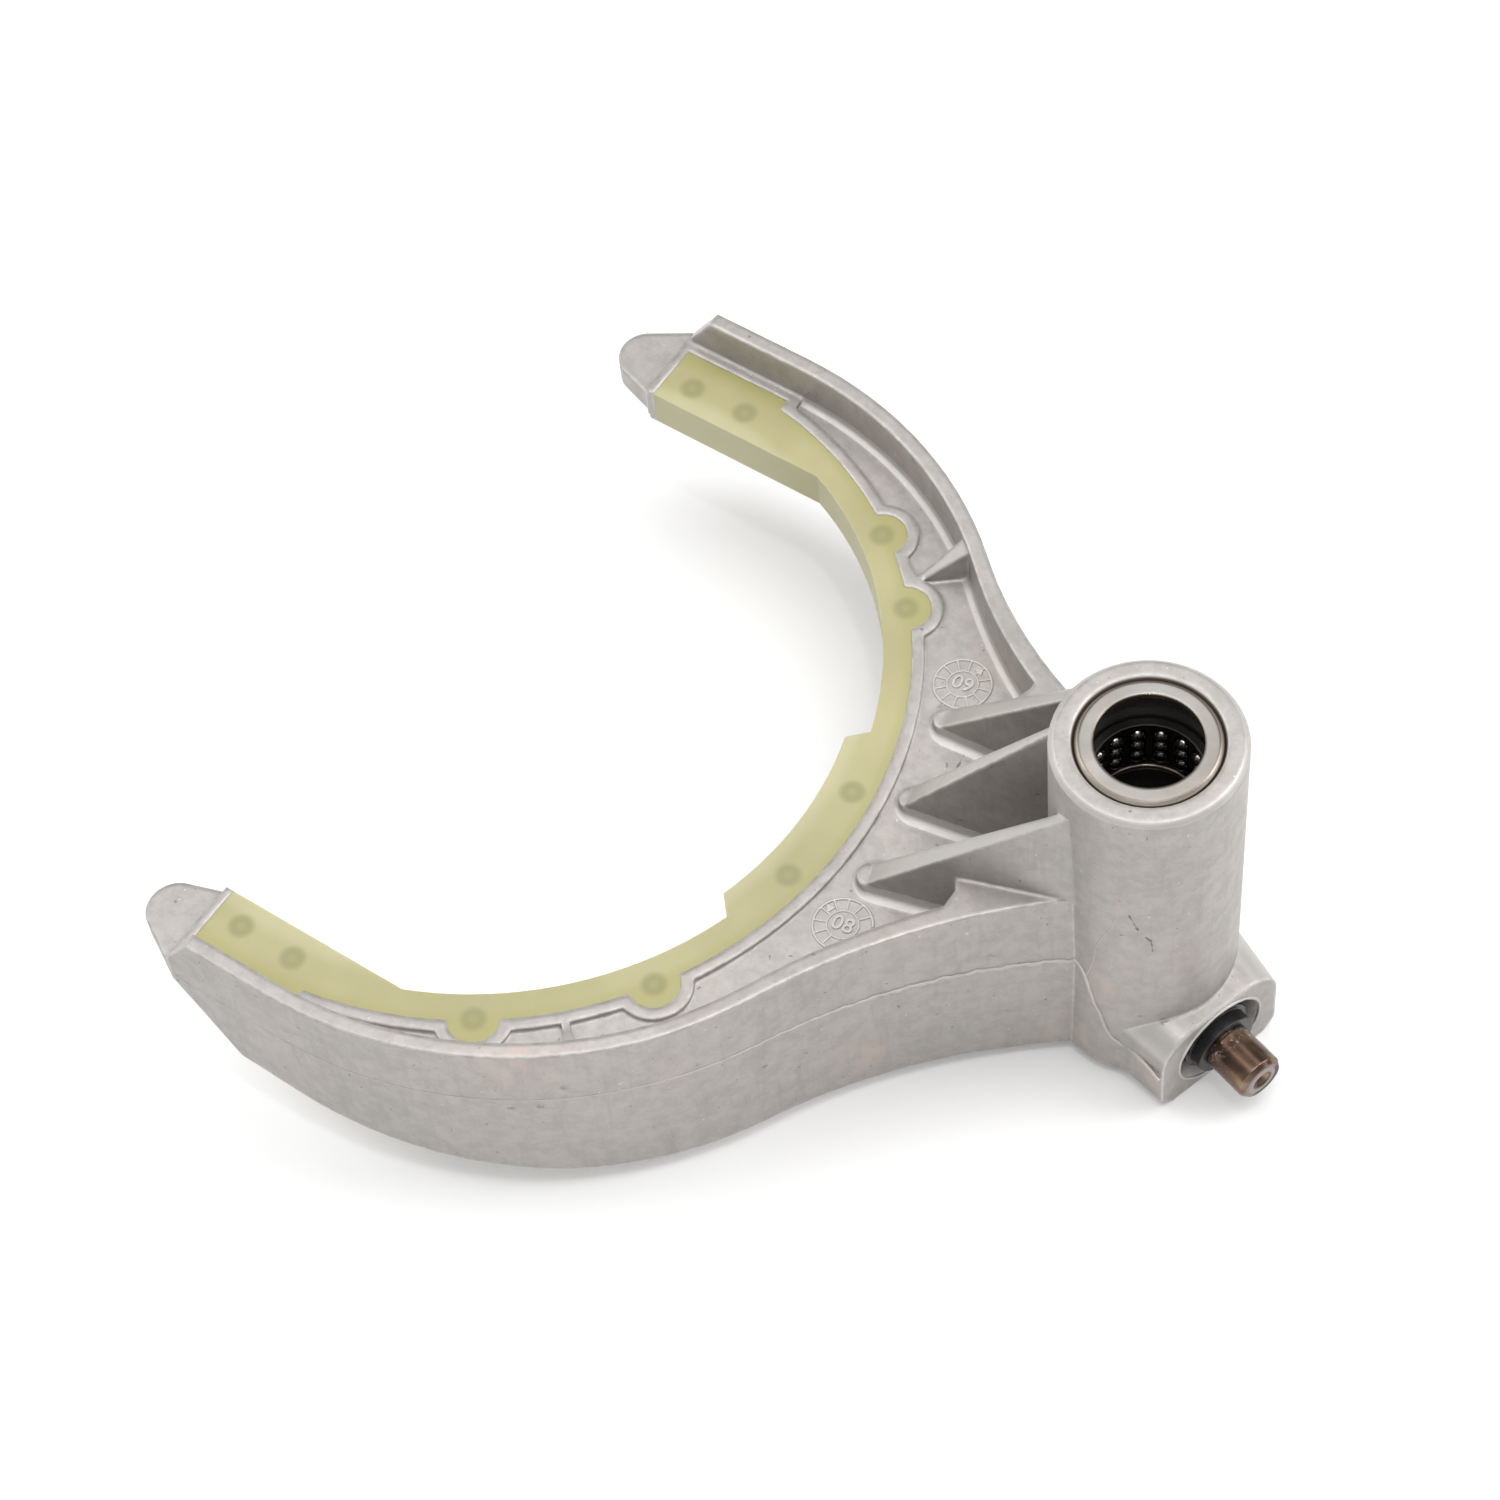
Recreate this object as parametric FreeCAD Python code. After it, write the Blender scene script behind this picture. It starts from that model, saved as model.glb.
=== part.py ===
import FreeCAD
import Part
import math
import os

Vector = FreeCAD.Vector

# A shift fork for a transfer case: one die-cast fork with a tall rail hub,
# a moulded-on nylon liner round the sleeve gap, two ball bushings pressed
# into the hub and a follower pin with its collar in a boss at the hub's foot.
# Millimetres. The rail axis is Z through the origin, z = 0 is the middle of
# the liner, and the gap opens towards -X.

# Rail hub
hub_outside = 32.0
hub_top = 47.8
hub_bottom = -31.0
hub_edge = 0.9
bearing_outside = 24.0
bearing_length = 22.0
seat_chamfer = 0.55
seat_drop = 0.9
bore_between_seats = 22.0

# Ball bushing
rail_diameter = 16.0
ball_diameter = 2.78
ball_rows = 3
ball_columns = 15
row_pitch = 2.9
ball_play = 0.03
lip_bore = 17.64
lip_thickness = 1.1
shell_edge = 0.8
cage_inside = 18.0
cage_play = 0.25
cage_rest_gap = 0.05
slot_play = 0.04
ball_sides = 6
ball_ring_tilt = 38.0

# Sleeve gap, seen from its own centre
sleeve_x = -118.9
sleeve_y = -20.25
pad_radius = 67.0
land_radius = 63.0
land_half_angle = 17.0
land_flank = 2.9
tip_face = 62.0
end_face = -10.5

# Liner
liner_height = 8.0
liner_radius = 72.0
tip_strip = 73.4
tip_strip_end = 11.3
bump_radius = 4.5
peg_radius = 2.45
peg_sides = 8
tongue_height = 4.0
tongue_skin = 1.5
arc_skin = 2.0
peg_tips = [(-5.0, 66.75), (6.2, 67.05)]
peg_middle = [(68.2, 8.2), (68.2, -8.2)]
peg_bumps = [(71.2, 53.6), (71.5, 40.4), (71.9, -32.8), (71.7, -57.2)]

# Web and rim
web_height = 6.0
rim_width = 2.1
rim_end_width = 1.4

# Outer wall: straight past the tips, then a bend and a waist into the hub
wall_top = 11.8
wall_top_at_hub = 17.9
wall_rise_start = -50.0
wall_thickness = 2.75
wall_thickness_at_hub = 4.4
parting_height = -2.0
draft = math.tan(math.radians(1.2))
near_bend = {
    "side": -1, "straight": 78.25, "x": 10.3, "radius": 77.7, "turn": 27.6, "waist": 120.4, "end": 242.3,
}
far_bend = {
    "side": 1, "straight": 78.7, "x": 12.7, "radius": 75.6, "turn": 47.5, "waist": 100.6, "end": 261.8,
}

# The wall seen from the side: slanted ends and a bottom that drops to the hub
tip_end = [(-125.7, 11.8), (-131.2, 3.5), (-131.2, -3.2), (-126.7, -9.8), (-120.1, -20.0)]
bottom_line = [(-120.1, -20.0), (-90.0, -23.5), (-60.0, -28.0), (-30.0, -29.9), (-12.0, -30.9)]

# Tabs past the tips
tab_top = 2.5
tab_thickness = 5.0
tab_root = -11.2
tab_nose = [(-19.2, 64.6), (-22.4, 69.3), (-20.4, 73.7)]
tab_wall_end = -13.0
tab_wall_gap = 0.4

# Ribs from the web up to the hub: foot, direction and rise
rib_foot_width = 4.4
rib_ridge_width = 1.7
rib_nose = 0.4
rib_fillet = 1.9
rib_fillet_ahead = 0.3
trough_fillet = 1.3
rib_peak = 40.5
rib_sunk = 0.5
rib_wall_inset = 0.3
rib_free_height = 16.0
upper_ribs = [
    {"foot": (-47.8, 9.7), "heading": 4.6, "rise": 1.0},
    {"foot": (-44.0, -7.0), "heading": 9.66, "rise": 1.36},
    {"foot": (-41.7, -23.6), "heading": 14.7, "rise": 1.0},
]
lower_rib_rise = 0.62
lower_rib_peak = -24.0

# Solid shoulders of the wall beside the outer ribs
far_shoulder = [(-33.6, 40.0), (-33.6, 17.8), (-35.2, 13.5), (0.0, 0.0), (0.0, 40.0)]
near_shoulder = [(-22.6, -45.0), (-22.4, -23.0), (-24.6, -19.4), (0.0, 0.0), (0.0, -45.0)]

# Gussets between rim and wall
gusset_foot_width = 1.4
gusset_wall_width = 3.6
gusset_angles = [45.2, -45.3]
gusset_foot_radius = 75.6
gusset_wall_radius = 84.0
gusset_below_wall_top = 0.8

# Boss and follower pin
pin_heading = -17.0
pin_offset = 0.8
pin_height = -24.0
boss_reach = 18.6
boss_half_width = 12.9
boss_top = -14.2
boss_top_at_hub = -11.5
boss_bottom = -33.6
boss_top_round = 7.0
boss_bottom_round = 2.5
recess_radius = 9.0
recess_floor_radius = 7.4
recess_depth = 3.6
pin_radius = 4.4
pin_shank_radius = 3.9
pin_relief = 0.3
pin_start = 12.4
pin_end = 29.3
pin_chamfer = 0.9
pin_centre_radius = 2.0
pin_centre_depth = 1.2
pin_drill_radius = 0.85
pin_drill_depth = 3.0
collar_radius = 6.9
collar_step_radius = 6.0
collar_step = 17.8
collar_end = 20.3

hub_radius = hub_outside / 2
seat_radius = bearing_outside / 2
sleeve = Vector(sleeve_x, sleeve_y, 0)
far_out = 200.0


def at(x, y, z=0.0):
    """A point given from the sleeve's centre."""
    return Vector(sleeve.x + x, sleeve.y + y, z)


def round_at(radius, degrees, z=0.0):
    """A point at a radius and angle round the sleeve's centre."""
    turn = math.radians(degrees)
    return at(radius * math.cos(turn), radius * math.sin(turn), z)


def polygon(points):
    """A closed wire through points."""
    return Part.makePolygon(points + [points[0]])


def slab(points, low, high):
    """An upright prism over a plan polygon."""
    corners = [Vector(x, y, low) for x, y in points]
    return Part.Face(polygon(corners)).extrude(Vector(0, 0, high - low))


def disc(centre, radius, low, high):
    """An upright cylinder."""
    return Part.makeCylinder(radius, high - low, Vector(centre.x, centre.y, low))


def many_sided(centre, corner_radius, sides, low, high):
    """An upright prism with equal sides."""
    points = []
    for index in range(sides):
        angle = 2 * math.pi * (index + 0.5) / sides
        x = centre.x + corner_radius * math.cos(angle)
        y = centre.y + corner_radius * math.sin(angle)
        points.append((x, y))
    return slab(points, low, high)


def block(x0, x1, y0, y1, low, high):
    """A box given from the sleeve's centre."""
    return Part.makeBox(x1 - x0, y1 - y0, high - low, at(x0, y0, low))


def turned(profile):
    """A solid turned about Z from points (radius, height)."""
    corners = [Vector(r, 0, z) for r, z in profile]
    return Part.Face(polygon(corners)).revolve(Vector(0, 0, 0), Vector(0, 0, 1), 360)


def waist_arc(bend, inset, hub_inset, height):
    """The concave stretch of the wall, from the bend to the hub."""
    side = bend["side"]
    turn = math.radians(bend["turn"])
    reach = bend["radius"] + bend["waist"]
    centre_x = bend["x"] + reach * math.cos(turn)
    centre_y = bend["straight"] - bend["radius"] + reach * math.sin(turn)
    points = []
    for share in (0.0, 0.5, 1.0):
        angle = math.radians(bend["turn"] + 180 + share * (bend["end"] - bend["turn"] - 180))
        radius = bend["waist"] + inset + share * (hub_inset - inset)
        x = centre_x + radius * math.cos(angle)
        y = centre_y + radius * math.sin(angle)
        points.append(at(x, side * y, height))
    return points


def bend_arc(bend, inset, height):
    """The convex stretch of the wall, from the straight to the waist."""
    side = bend["side"]
    radius = bend["radius"] - inset
    centre_y = bend["straight"] - bend["radius"]
    points = []
    for share in (0.0, 0.5, 1.0):
        angle = math.radians(90 + share * (bend["turn"] - 90))
        x = bend["x"] + radius * math.cos(angle)
        y = centre_y + radius * math.sin(angle)
        points.append(at(x, side * y, height))
    return points


def arm_outline(inset, hub_inset, tip_x, height):
    """Plan outline of both arms, moved inwards by inset (hub_inset at the hub)."""
    edges = []
    ends = []
    for bend in (near_bend, far_bend):
        tip = at(tip_x, bend["side"] * (bend["straight"] - inset), height)
        convex = bend_arc(bend, inset, height)
        concave = waist_arc(bend, inset, hub_inset, height)
        edges.append(Part.makeLine(tip, convex[0]))
        edges.append(Part.Arc(*convex).toShape())
        edges.append(Part.Arc(convex[2], concave[1], concave[2]).toShape())
        ends.append((tip, concave[2]))
    edges.append(Part.makeLine(ends[0][1], ends[1][1]))
    edges.append(Part.makeLine(ends[0][0], ends[1][0]))
    return Part.Wire(Part.__sortEdges__(edges))


def drafted(low_wire, high_wire):
    """A solid with straight drafted sides between two like outlines."""
    return Part.makeLoft([low_wire, high_wire], True, True)


def fillet_steps(radius):
    """Height and spread of the three corners that stand for a hollow fillet."""
    knee = radius * (1 - math.sqrt(0.5))
    return (0, radius), (knee, knee), (radius, 0)


def wall_inset(height):
    """How far the drafted outer face has moved inwards at a height."""
    return draft * abs(height - parting_height)


def arm_block():
    """Both arms as one solid, before they are hollowed."""
    parting = arm_outline(0, 0, end_face - 5, parting_height)
    top = hub_top
    high = arm_outline(wall_inset(top), wall_inset(top), end_face - 5, top)
    low_z = boss_bottom
    low = arm_outline(wall_inset(low_z), wall_inset(low_z), end_face - 5, low_z)
    body = drafted(low, parting).fuse(drafted(parting, high))
    return body.common(side_shape())


def side_shape():
    """The arms' side view, as a prism across the fork."""
    points = [Vector(x, -far_out, z) for x, z in tip_end]
    edges = [Part.makeLine(a, b) for a, b in zip(points, points[1:])]
    spline = Part.BSplineCurve()
    spline.interpolate([Vector(x, -far_out, z) for x, z in bottom_line])
    edges.append(spline.toShape())
    hub_x = hub_radius / 2
    last = Vector(bottom_line[-1][0], -far_out, bottom_line[-1][1])
    corner = Vector(hub_x, -far_out, hub_bottom)
    crest = Vector(hub_x, -far_out, wall_top_at_hub)
    rise = Vector(wall_rise_start, -far_out, wall_top)
    edges += [Part.makeLine(a, b) for a, b in ((last, corner), (corner, crest), (crest, rise))]
    edges.append(Part.makeLine(rise, points[0]))
    face = Part.Face(Part.Wire(Part.__sortEdges__(edges)))
    return face.extrude(Vector(0, 2 * far_out, 0))


def upper_trough():
    """The hollow above the web, inside the wall."""
    low = web_height / 2
    high = hub_top
    tip_x = -60.0
    top_inset = wall_inset(wall_top) + wall_thickness
    hub_extra = wall_thickness_at_hub - wall_thickness
    foot_inset = top_inset + draft * (wall_top - low)
    high_inset = top_inset - draft * (high - wall_top)
    wires = []
    for height, spread in fillet_steps(trough_fillet):
        inset = foot_inset - draft * height + spread
        wires.append(arm_outline(inset, inset + hub_extra, tip_x, low + height))
    wires.append(arm_outline(high_inset, high_inset + hub_extra, tip_x, high))
    hollow = drafted(wires[0], wires[1])
    for below, above in zip(wires[1:], wires[2:]):
        hollow = hollow.fuse(drafted(below, above))
    for corners in (far_shoulder, near_shoulder):
        hollow = hollow.cut(slab(corners, low - 1, high + 1))
    for degrees in gusset_angles:
        hollow = hollow.cut(gusset(degrees))
    return hollow


def lower_trough():
    """The hollow below the web, inside the skirt."""
    high = -web_height / 2
    low = boss_bottom - 2
    tip_x = -60.0
    edge_inset = wall_inset(hub_bottom) + wall_thickness
    hub_extra = wall_thickness_at_hub - wall_thickness
    foot_inset = edge_inset + draft * (high - hub_bottom)
    low_inset = edge_inset - draft * (hub_bottom - low)
    high_wire = arm_outline(foot_inset, foot_inset + hub_extra, tip_x, high)
    low_wire = arm_outline(low_inset, low_inset + hub_extra, tip_x, low)
    return drafted(low_wire, high_wire)


def gusset(degrees):
    """A thin rib that climbs from the rim to the wall's top and widens on its way."""
    direction = round_at(1, degrees) - sleeve
    across = Vector(-direction.y, direction.x, 0)
    rim_top = liner_height / 2
    crest = wall_top - gusset_below_wall_top
    start = gusset_foot_radius - rim_width
    end = gusset_wall_radius + wall_thickness * 2
    bottom = -web_height / 2
    profile = [
        (start, bottom),
        (start, rim_top),
        (gusset_foot_radius, rim_top),
        (gusset_wall_radius, crest),
        (end, crest),
        (end, bottom),
    ]
    corners = [sleeve + direction * r + Vector(0, 0, z) - across * gusset_wall_width for r, z in profile]
    side_view = Part.Face(polygon(corners)).extrude(across * gusset_wall_width * 2)
    plan = [
        (start, gusset_foot_width / 2),
        (gusset_foot_radius, gusset_foot_width / 2),
        (gusset_wall_radius, gusset_wall_width / 2),
        (end, gusset_wall_width / 2),
    ]
    outline = [sleeve + direction * r + across * half for r, half in plan]
    outline += [sleeve + direction * r - across * half for r, half in reversed(plan)]
    return side_view.common(slab([(point.x, point.y) for point in outline], bottom, crest))


def rib_outline(rib, half_width, height, shorten):
    """Plan of a rib: a long strip with a round nose at its foot."""
    heading = math.radians(rib["heading"])
    along = Vector(math.cos(heading), math.sin(heading), 0)
    across = Vector(-along.y, along.x, 0)
    foot = Vector(rib["foot"][0], rib["foot"][1], height) + along * shorten
    nose_centre = foot + along * half_width
    length = hub_radius * 2.5
    left = nose_centre + across * half_width
    right = nose_centre - across * half_width
    back = along * length
    edges = [
        Part.Arc(left, foot, right).toShape(),
        Part.makeLine(right, right + back),
        Part.makeLine(right + back, left + back),
        Part.makeLine(left + back, left),
    ]
    return Part.Wire(Part.__sortEdges__(edges))


def rib_body(rib, start, peak, rise):
    """A drafted rib cut off along its rising ridge."""
    sense = 1 if peak > start else -1
    foot_half = rib_foot_width / 2
    ridge_half = rib_ridge_width / 2
    shorten = foot_half - ridge_half
    low = rib_outline(rib, foot_half, start, 0)
    high = rib_outline(rib, ridge_half, peak, shorten)
    body = drafted(low, high)
    heading = math.radians(rib["heading"])
    along = Vector(math.cos(heading), math.sin(heading), 0)
    across = Vector(-along.y, along.x, 0) * 20
    foot = Vector(rib["foot"][0], rib["foot"][1], start)
    nose = foot + Vector(0, 0, sense * rib_nose)
    climb = along * (abs(peak - start) / rise) + Vector(0, 0, peak - start)
    back = along * far_out
    wedge = [foot, foot + back, nose + climb + back, nose + climb, nose]
    corners = [corner - across for corner in wedge]
    under_ridge = Part.Face(polygon(corners)).extrude(across * 2)
    reach = disc(Vector(0, 0, 0), hub_radius * 6, min(start, peak) - 1, max(start, peak) + 1)
    body = body.common(under_ridge).common(reach)
    return body


def rib_flare(rib):
    """The hollow fillet where a rib meets the web, as two drafted steps."""
    floor = web_height / 2
    steps = fillet_steps(rib_fillet)
    outlines = []
    for height, spread in steps:
        half = rib_foot_width / 2 + spread
        outlines.append(rib_outline(rib, half, floor + height, -spread * rib_fillet_ahead))
    flare = drafted(outlines[0], outlines[1]).fuse(drafted(outlines[1], outlines[2]))
    return flare.common(disc(Vector(0, 0, 0), hub_radius * 4, floor - 1, floor + rib_fillet + 1))


def between_walls(inset, low, high):
    """The room inside the outer faces of both arms, between two heights."""
    outline = arm_outline(inset, inset, end_face, low)
    return Part.Face(outline).extrude(Vector(0, 0, high - low))


def ribs():
    """Three ribs above the web and three lower ones below it."""
    bodies = []
    sunk = web_height / 2 - rib_sunk
    below = between_walls(wall_thickness / 2, hub_bottom, 0)
    beside = between_walls(rib_wall_inset, 0, rib_free_height)
    above = disc(Vector(0, 0, 0), far_out, rib_free_height, hub_top)
    for rib in upper_ribs:
        upper = rib_body(rib, sunk, rib_peak, rib["rise"])
        lower = rib_body(rib, -sunk, lower_rib_peak, lower_rib_rise)
        bodies.append(rib_flare(rib).common(beside))
        bodies.append(upper.common(beside).fuse(upper.common(above)))
        bodies.append(lower.common(below))
    return bodies


def ring_blank(extra, end_extra, height):
    """The liner's outer form, grown by extra: a disc, two tip strips and four bumps."""
    half = height / 2
    x0 = end_face - end_extra
    body = disc(sleeve, liner_radius + extra, -half, half)
    strip = tip_strip + extra
    body = body.fuse(block(x0, tip_strip_end + extra, -strip, strip, -half, half))
    for radius, degrees in peg_bumps:
        centre = round_at(radius, degrees)
        body = body.fuse(disc(centre, bump_radius + extra, -half, half))
    keep = block(x0, far_out, -far_out, far_out, -half, half)
    return body.common(keep).removeSplitter()


def sleeve_gap(skin, curved_skin, height):
    """The open space between the arms, grown by a skin of liner."""
    half = height / 2
    tall = half + 1
    width = tip_face + skin
    body = disc(sleeve, pad_radius + curved_skin, -tall, tall)
    body = body.fuse(block(-far_out, 0, -width, width, -tall, tall))
    body = body.common(block(-far_out, far_out, -width, width, -tall, tall))
    return body.cut(land(skin, tall))


def land(skin, tall):
    """The raised pad in the middle of the gap, as wide as its slanted flanks."""
    inner = land_radius + skin
    outer = pad_radius + 5
    narrow = math.radians(land_half_angle)
    flank = math.radians(land_flank)
    slope_run = (outer - inner) * math.tan(math.radians(45))
    half_y = inner * math.sin(narrow) - skin
    x_in = inner * math.cos(narrow)
    points = [
        at(0, 0),
        at(x_in, -half_y),
        at(x_in + slope_run, -half_y - slope_run * math.cos(flank)),
        at(x_in + slope_run, half_y + slope_run * math.cos(flank)),
        at(x_in, half_y),
    ]
    wedge = slab([(p.x, p.y) for p in points], -tall, tall)
    return wedge.cut(disc(sleeve, inner, -tall - 1, tall + 1))


def pegs(height):
    """The round columns of nylon that fill the tongue's holes."""
    half = height / 2
    centres = [round_at(radius, degrees) for radius, degrees in peg_middle + peg_bumps]
    for x, y in peg_tips:
        centres += [at(x, y), at(x, -y)]
    corner_radius = peg_radius / math.cos(math.pi / peg_sides)
    return [many_sided(centre, corner_radius, peg_sides, -half, half) for centre in centres]


def tongue():
    """The thin casting edge that the liner is moulded round."""
    body = ring_blank(0, 0, tongue_height)
    body = body.cut(sleeve_gap(tongue_skin, arc_skin, tongue_height))
    for peg in pegs(tongue_height + 2):
        body = body.cut(peg)
    return body


def fork_liner():
    body = ring_blank(0, 0, liner_height).cut(sleeve_gap(0, 0, liner_height))
    return body.cut(tongue())


def tabs():
    """A flat tab with a round nose past each tip."""
    low = tab_top - tab_thickness
    bodies = []
    for bend in (near_bend, far_bend):
        side = bend["side"]
        wall = bend["straight"] - tab_wall_gap
        nose = [at(x, side * y, low) for x, y in tab_nose]
        root = at(tab_root, side * tip_face, low)
        corners = [
            nose[2],
            at(tab_wall_end, side * wall, low),
            at(tab_root, side * (bend["straight"] - wall_thickness / 2), low),
            root,
            nose[0],
        ]
        edges = [Part.makeLine(a, b) for a, b in zip(corners, corners[1:])]
        edges.append(Part.Arc(*nose).toShape())
        outline = Part.Wire(Part.__sortEdges__(edges))
        bodies.append(Part.Face(outline).extrude(Vector(0, 0, tab_thickness)))
    return bodies


def boss_section(reach, half_width, top, bottom, top_round, bottom_round):
    """The boss cut across the pin: chamfered foot, arched top."""
    heading = math.radians(pin_heading)
    along = Vector(math.cos(heading), math.sin(heading), 0)
    across = Vector(-along.y, along.x, 0)

    def spot(w, z):
        return along * reach + across * (w + pin_offset) + Vector(0, 0, z)

    def corner(w, z, radius, out_w, out_z):
        knee = radius * (1 - math.sqrt(0.5))
        return [
            (w, z - out_z * radius),
            (w - out_w * knee, z - out_z * knee),
            (w - out_w * radius, z),
        ]

    right_top = corner(half_width, top, top_round, 1, 1)
    left_top = corner(-half_width, top, top_round, -1, 1)[::-1]
    left_foot = corner(-half_width, bottom, bottom_round, -1, -1)
    right_foot = corner(half_width, bottom, bottom_round, 1, -1)[::-1]
    arcs = [right_top, left_top, left_foot, right_foot]
    edges = []
    for index, arc in enumerate(arcs):
        points = [spot(w, z) for w, z in arc]
        if arc in (left_foot, right_foot):
            edges.append(Part.makeLine(points[0], points[2]))
        else:
            edges.append(Part.Arc(*points).toShape())
        following = arcs[(index + 1) % len(arcs)][0]
        edges.append(Part.makeLine(points[2], spot(*following)))
    return Part.Wire(Part.__sortEdges__(edges))


def boss():
    """The flat-faced boss that carries the pin, widening into the hub."""
    root_half = hub_radius - abs(pin_offset)
    root = boss_section(0, root_half, boss_top_at_hub, hub_bottom, boss_top_round, boss_bottom_round)
    face = boss_section(boss_reach, boss_half_width, boss_top, boss_bottom, boss_top_round, boss_bottom_round)
    return drafted(root, face)


def along_pin(profile):
    """A solid turned about the pin's axis from points (radius, reach)."""
    body = turned([(r, reach) for r, reach in profile])
    body.rotate(Vector(0, 0, 0), Vector(0, 1, 0), 90)
    body.translate(Vector(0, pin_offset, pin_height))
    body.rotate(Vector(0, 0, 0), Vector(0, 0, 1), pin_heading)
    return body


def pin_seat():
    """The hole for the pin and the dished recess round it."""
    floor = boss_reach - recess_depth
    return along_pin([
        (0, seat_radius - 2),
        (pin_shank_radius, seat_radius - 2),
        (pin_shank_radius, floor),
        (recess_floor_radius, floor),
        (recess_floor_radius, floor + 0.4),
        (recess_radius, boss_reach),
        (recess_radius, boss_reach + far_out),
        (0, boss_reach + far_out),
    ])


def hub():
    """The rail hub before it is bored."""
    return turned([
        (0, hub_bottom),
        (hub_radius, hub_bottom),
        (hub_radius, hub_top - hub_edge),
        (hub_radius - hub_edge, hub_top),
        (0, hub_top),
    ])


def hub_bore():
    """Two bearing seats with a chamfered mouth and a narrower bore between."""
    middle = bore_between_seats / 2
    top_seat = hub_top - seat_drop - bearing_length
    bottom_seat = hub_bottom + seat_drop + bearing_length
    return turned([
        (0, hub_bottom - 1),
        (seat_radius + seat_chamfer, hub_bottom - 1),
        (seat_radius + seat_chamfer, hub_bottom),
        (seat_radius, hub_bottom + seat_drop),
        (seat_radius, bottom_seat),
        (middle, bottom_seat),
        (middle, top_seat),
        (seat_radius, top_seat),
        (seat_radius, hub_top - seat_drop),
        (seat_radius + seat_chamfer, hub_top),
        (seat_radius + seat_chamfer, hub_top + 1),
        (0, hub_top + 1),
    ])


def fork_casting():
    body = arm_block()
    body = body.cut(upper_trough()).cut(lower_trough())
    rim = ring_blank(rim_width, rim_end_width, liner_height)
    body = body.fuse(rim)
    mouth = block(-far_out, 0, -tip_face, tip_face, boss_bottom - 5, hub_top)
    body = body.cut(ring_blank(0, 0, liner_height)).cut(mouth)
    body = body.fuse(tabs())
    body = body.fuse(tongue())
    body = body.fuse(ribs())
    body = body.fuse(hub())
    body = body.fuse(boss())
    body = body.cut(hub_bore())
    body = body.cut(pin_seat())
    return body.removeSplitter()


def bearing_shell(mouth, hidden):
    """A drawn steel shell with an inturned lip at each end and a rounded mouth."""
    inward = 1 if hidden > mouth else -1
    inner = rail_diameter / 2 + ball_diameter + ball_play
    return turned([
        (lip_bore / 2, mouth),
        (seat_radius - shell_edge, mouth),
        (seat_radius, mouth + inward * shell_edge),
        (seat_radius, hidden),
        (lip_bore / 2, hidden),
        (lip_bore / 2, hidden - inward * lip_thickness),
        (inner, hidden - inward * lip_thickness),
        (inner, mouth + inward * lip_thickness),
        (lip_bore / 2, mouth + inward * lip_thickness),
    ])


def ball_turns():
    """Angles of the columns of balls, in degrees."""
    return [360 * (column + 0.5) / ball_columns for column in range(ball_columns)]


def ball_cage(bottom):
    """A many-sided sleeve with an upright slot for every column of balls."""
    length = row_pitch * (ball_rows + 1)
    sides = 2 * ball_columns
    outer = rail_diameter / 2 + ball_diameter + ball_play - cage_play
    inner = cage_inside / 2 / math.cos(math.pi / sides)
    centre = Vector(0, 0, 0)
    body = many_sided(centre, outer, sides, bottom, bottom + length)
    body = body.cut(many_sided(centre, inner, sides, bottom - 1, bottom + length + 1))
    half = ball_diameter / 2 + slot_play
    low = bottom + row_pitch - half
    high = bottom + row_pitch * ball_rows + half
    slots = []
    for degrees in ball_turns():
        slot = Part.makeBox(outer, 2 * half, high - low, Vector(rail_diameter / 4, -half, low))
        slot.rotate(Vector(0, 0, 0), Vector(0, 0, 1), degrees)
        slots.append(slot)
    return body.cut(Part.makeCompound(slots))


def ball(centre, degrees):
    """One ball as a solid with few flat sides, whose corners lie on its sphere."""
    radius = ball_diameter / 2
    rings = []
    for tilt in (-ball_ring_tilt, ball_ring_tilt):
        ring_radius = radius * math.cos(math.radians(tilt))
        height = centre.z + radius * math.sin(math.radians(tilt))
        ring = []
        for index in range(ball_sides):
            angle = math.radians(degrees + 360 * index / ball_sides)
            x = centre.x + ring_radius * math.cos(angle)
            y = centre.y + ring_radius * math.sin(angle)
            ring.append(Vector(x, y, height))
        rings.append(ring)
    faces = [Part.Face(polygon(rings[0])), Part.Face(polygon(rings[1]))]
    for index in range(ball_sides):
        following = (index + 1) % ball_sides
        side = [rings[0][index], rings[0][following], rings[1][following], rings[1][index]]
        faces.append(Part.Face(polygon(side)))
    return Part.makeSolid(Part.makeShell(faces))


def bearing_balls(bottom):
    radius = (rail_diameter + ball_diameter) / 2
    balls = []
    for degrees in ball_turns():
        turn = math.radians(degrees)
        for row in range(ball_rows):
            height = bottom + row_pitch * (row + 1)
            centre = Vector(radius * math.cos(turn), radius * math.sin(turn), height)
            balls.append(ball(centre, degrees))
    return Part.makeCompound(balls)


def follower_pin():
    chamfer = pin_chamfer
    return along_pin([
        (0, pin_start),
        (pin_shank_radius, pin_start),
        (pin_shank_radius, collar_end + pin_relief),
        (pin_radius, collar_end + pin_relief),
        (pin_radius, pin_end - chamfer),
        (pin_radius - chamfer * 0.7, pin_end),
        (pin_centre_radius, pin_end),
        (pin_drill_radius, pin_end - pin_centre_depth),
        (pin_drill_radius, pin_end - pin_drill_depth),
        (0, pin_end - pin_drill_depth - pin_drill_radius * 0.6),
    ])


def pin_collar():
    floor = boss_reach - recess_depth
    return along_pin([
        (pin_shank_radius, floor),
        (collar_radius, floor),
        (collar_radius, collar_step),
        (collar_step_radius, collar_step),
        (collar_step_radius, collar_end),
        (pin_shank_radius, collar_end),
    ])


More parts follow.
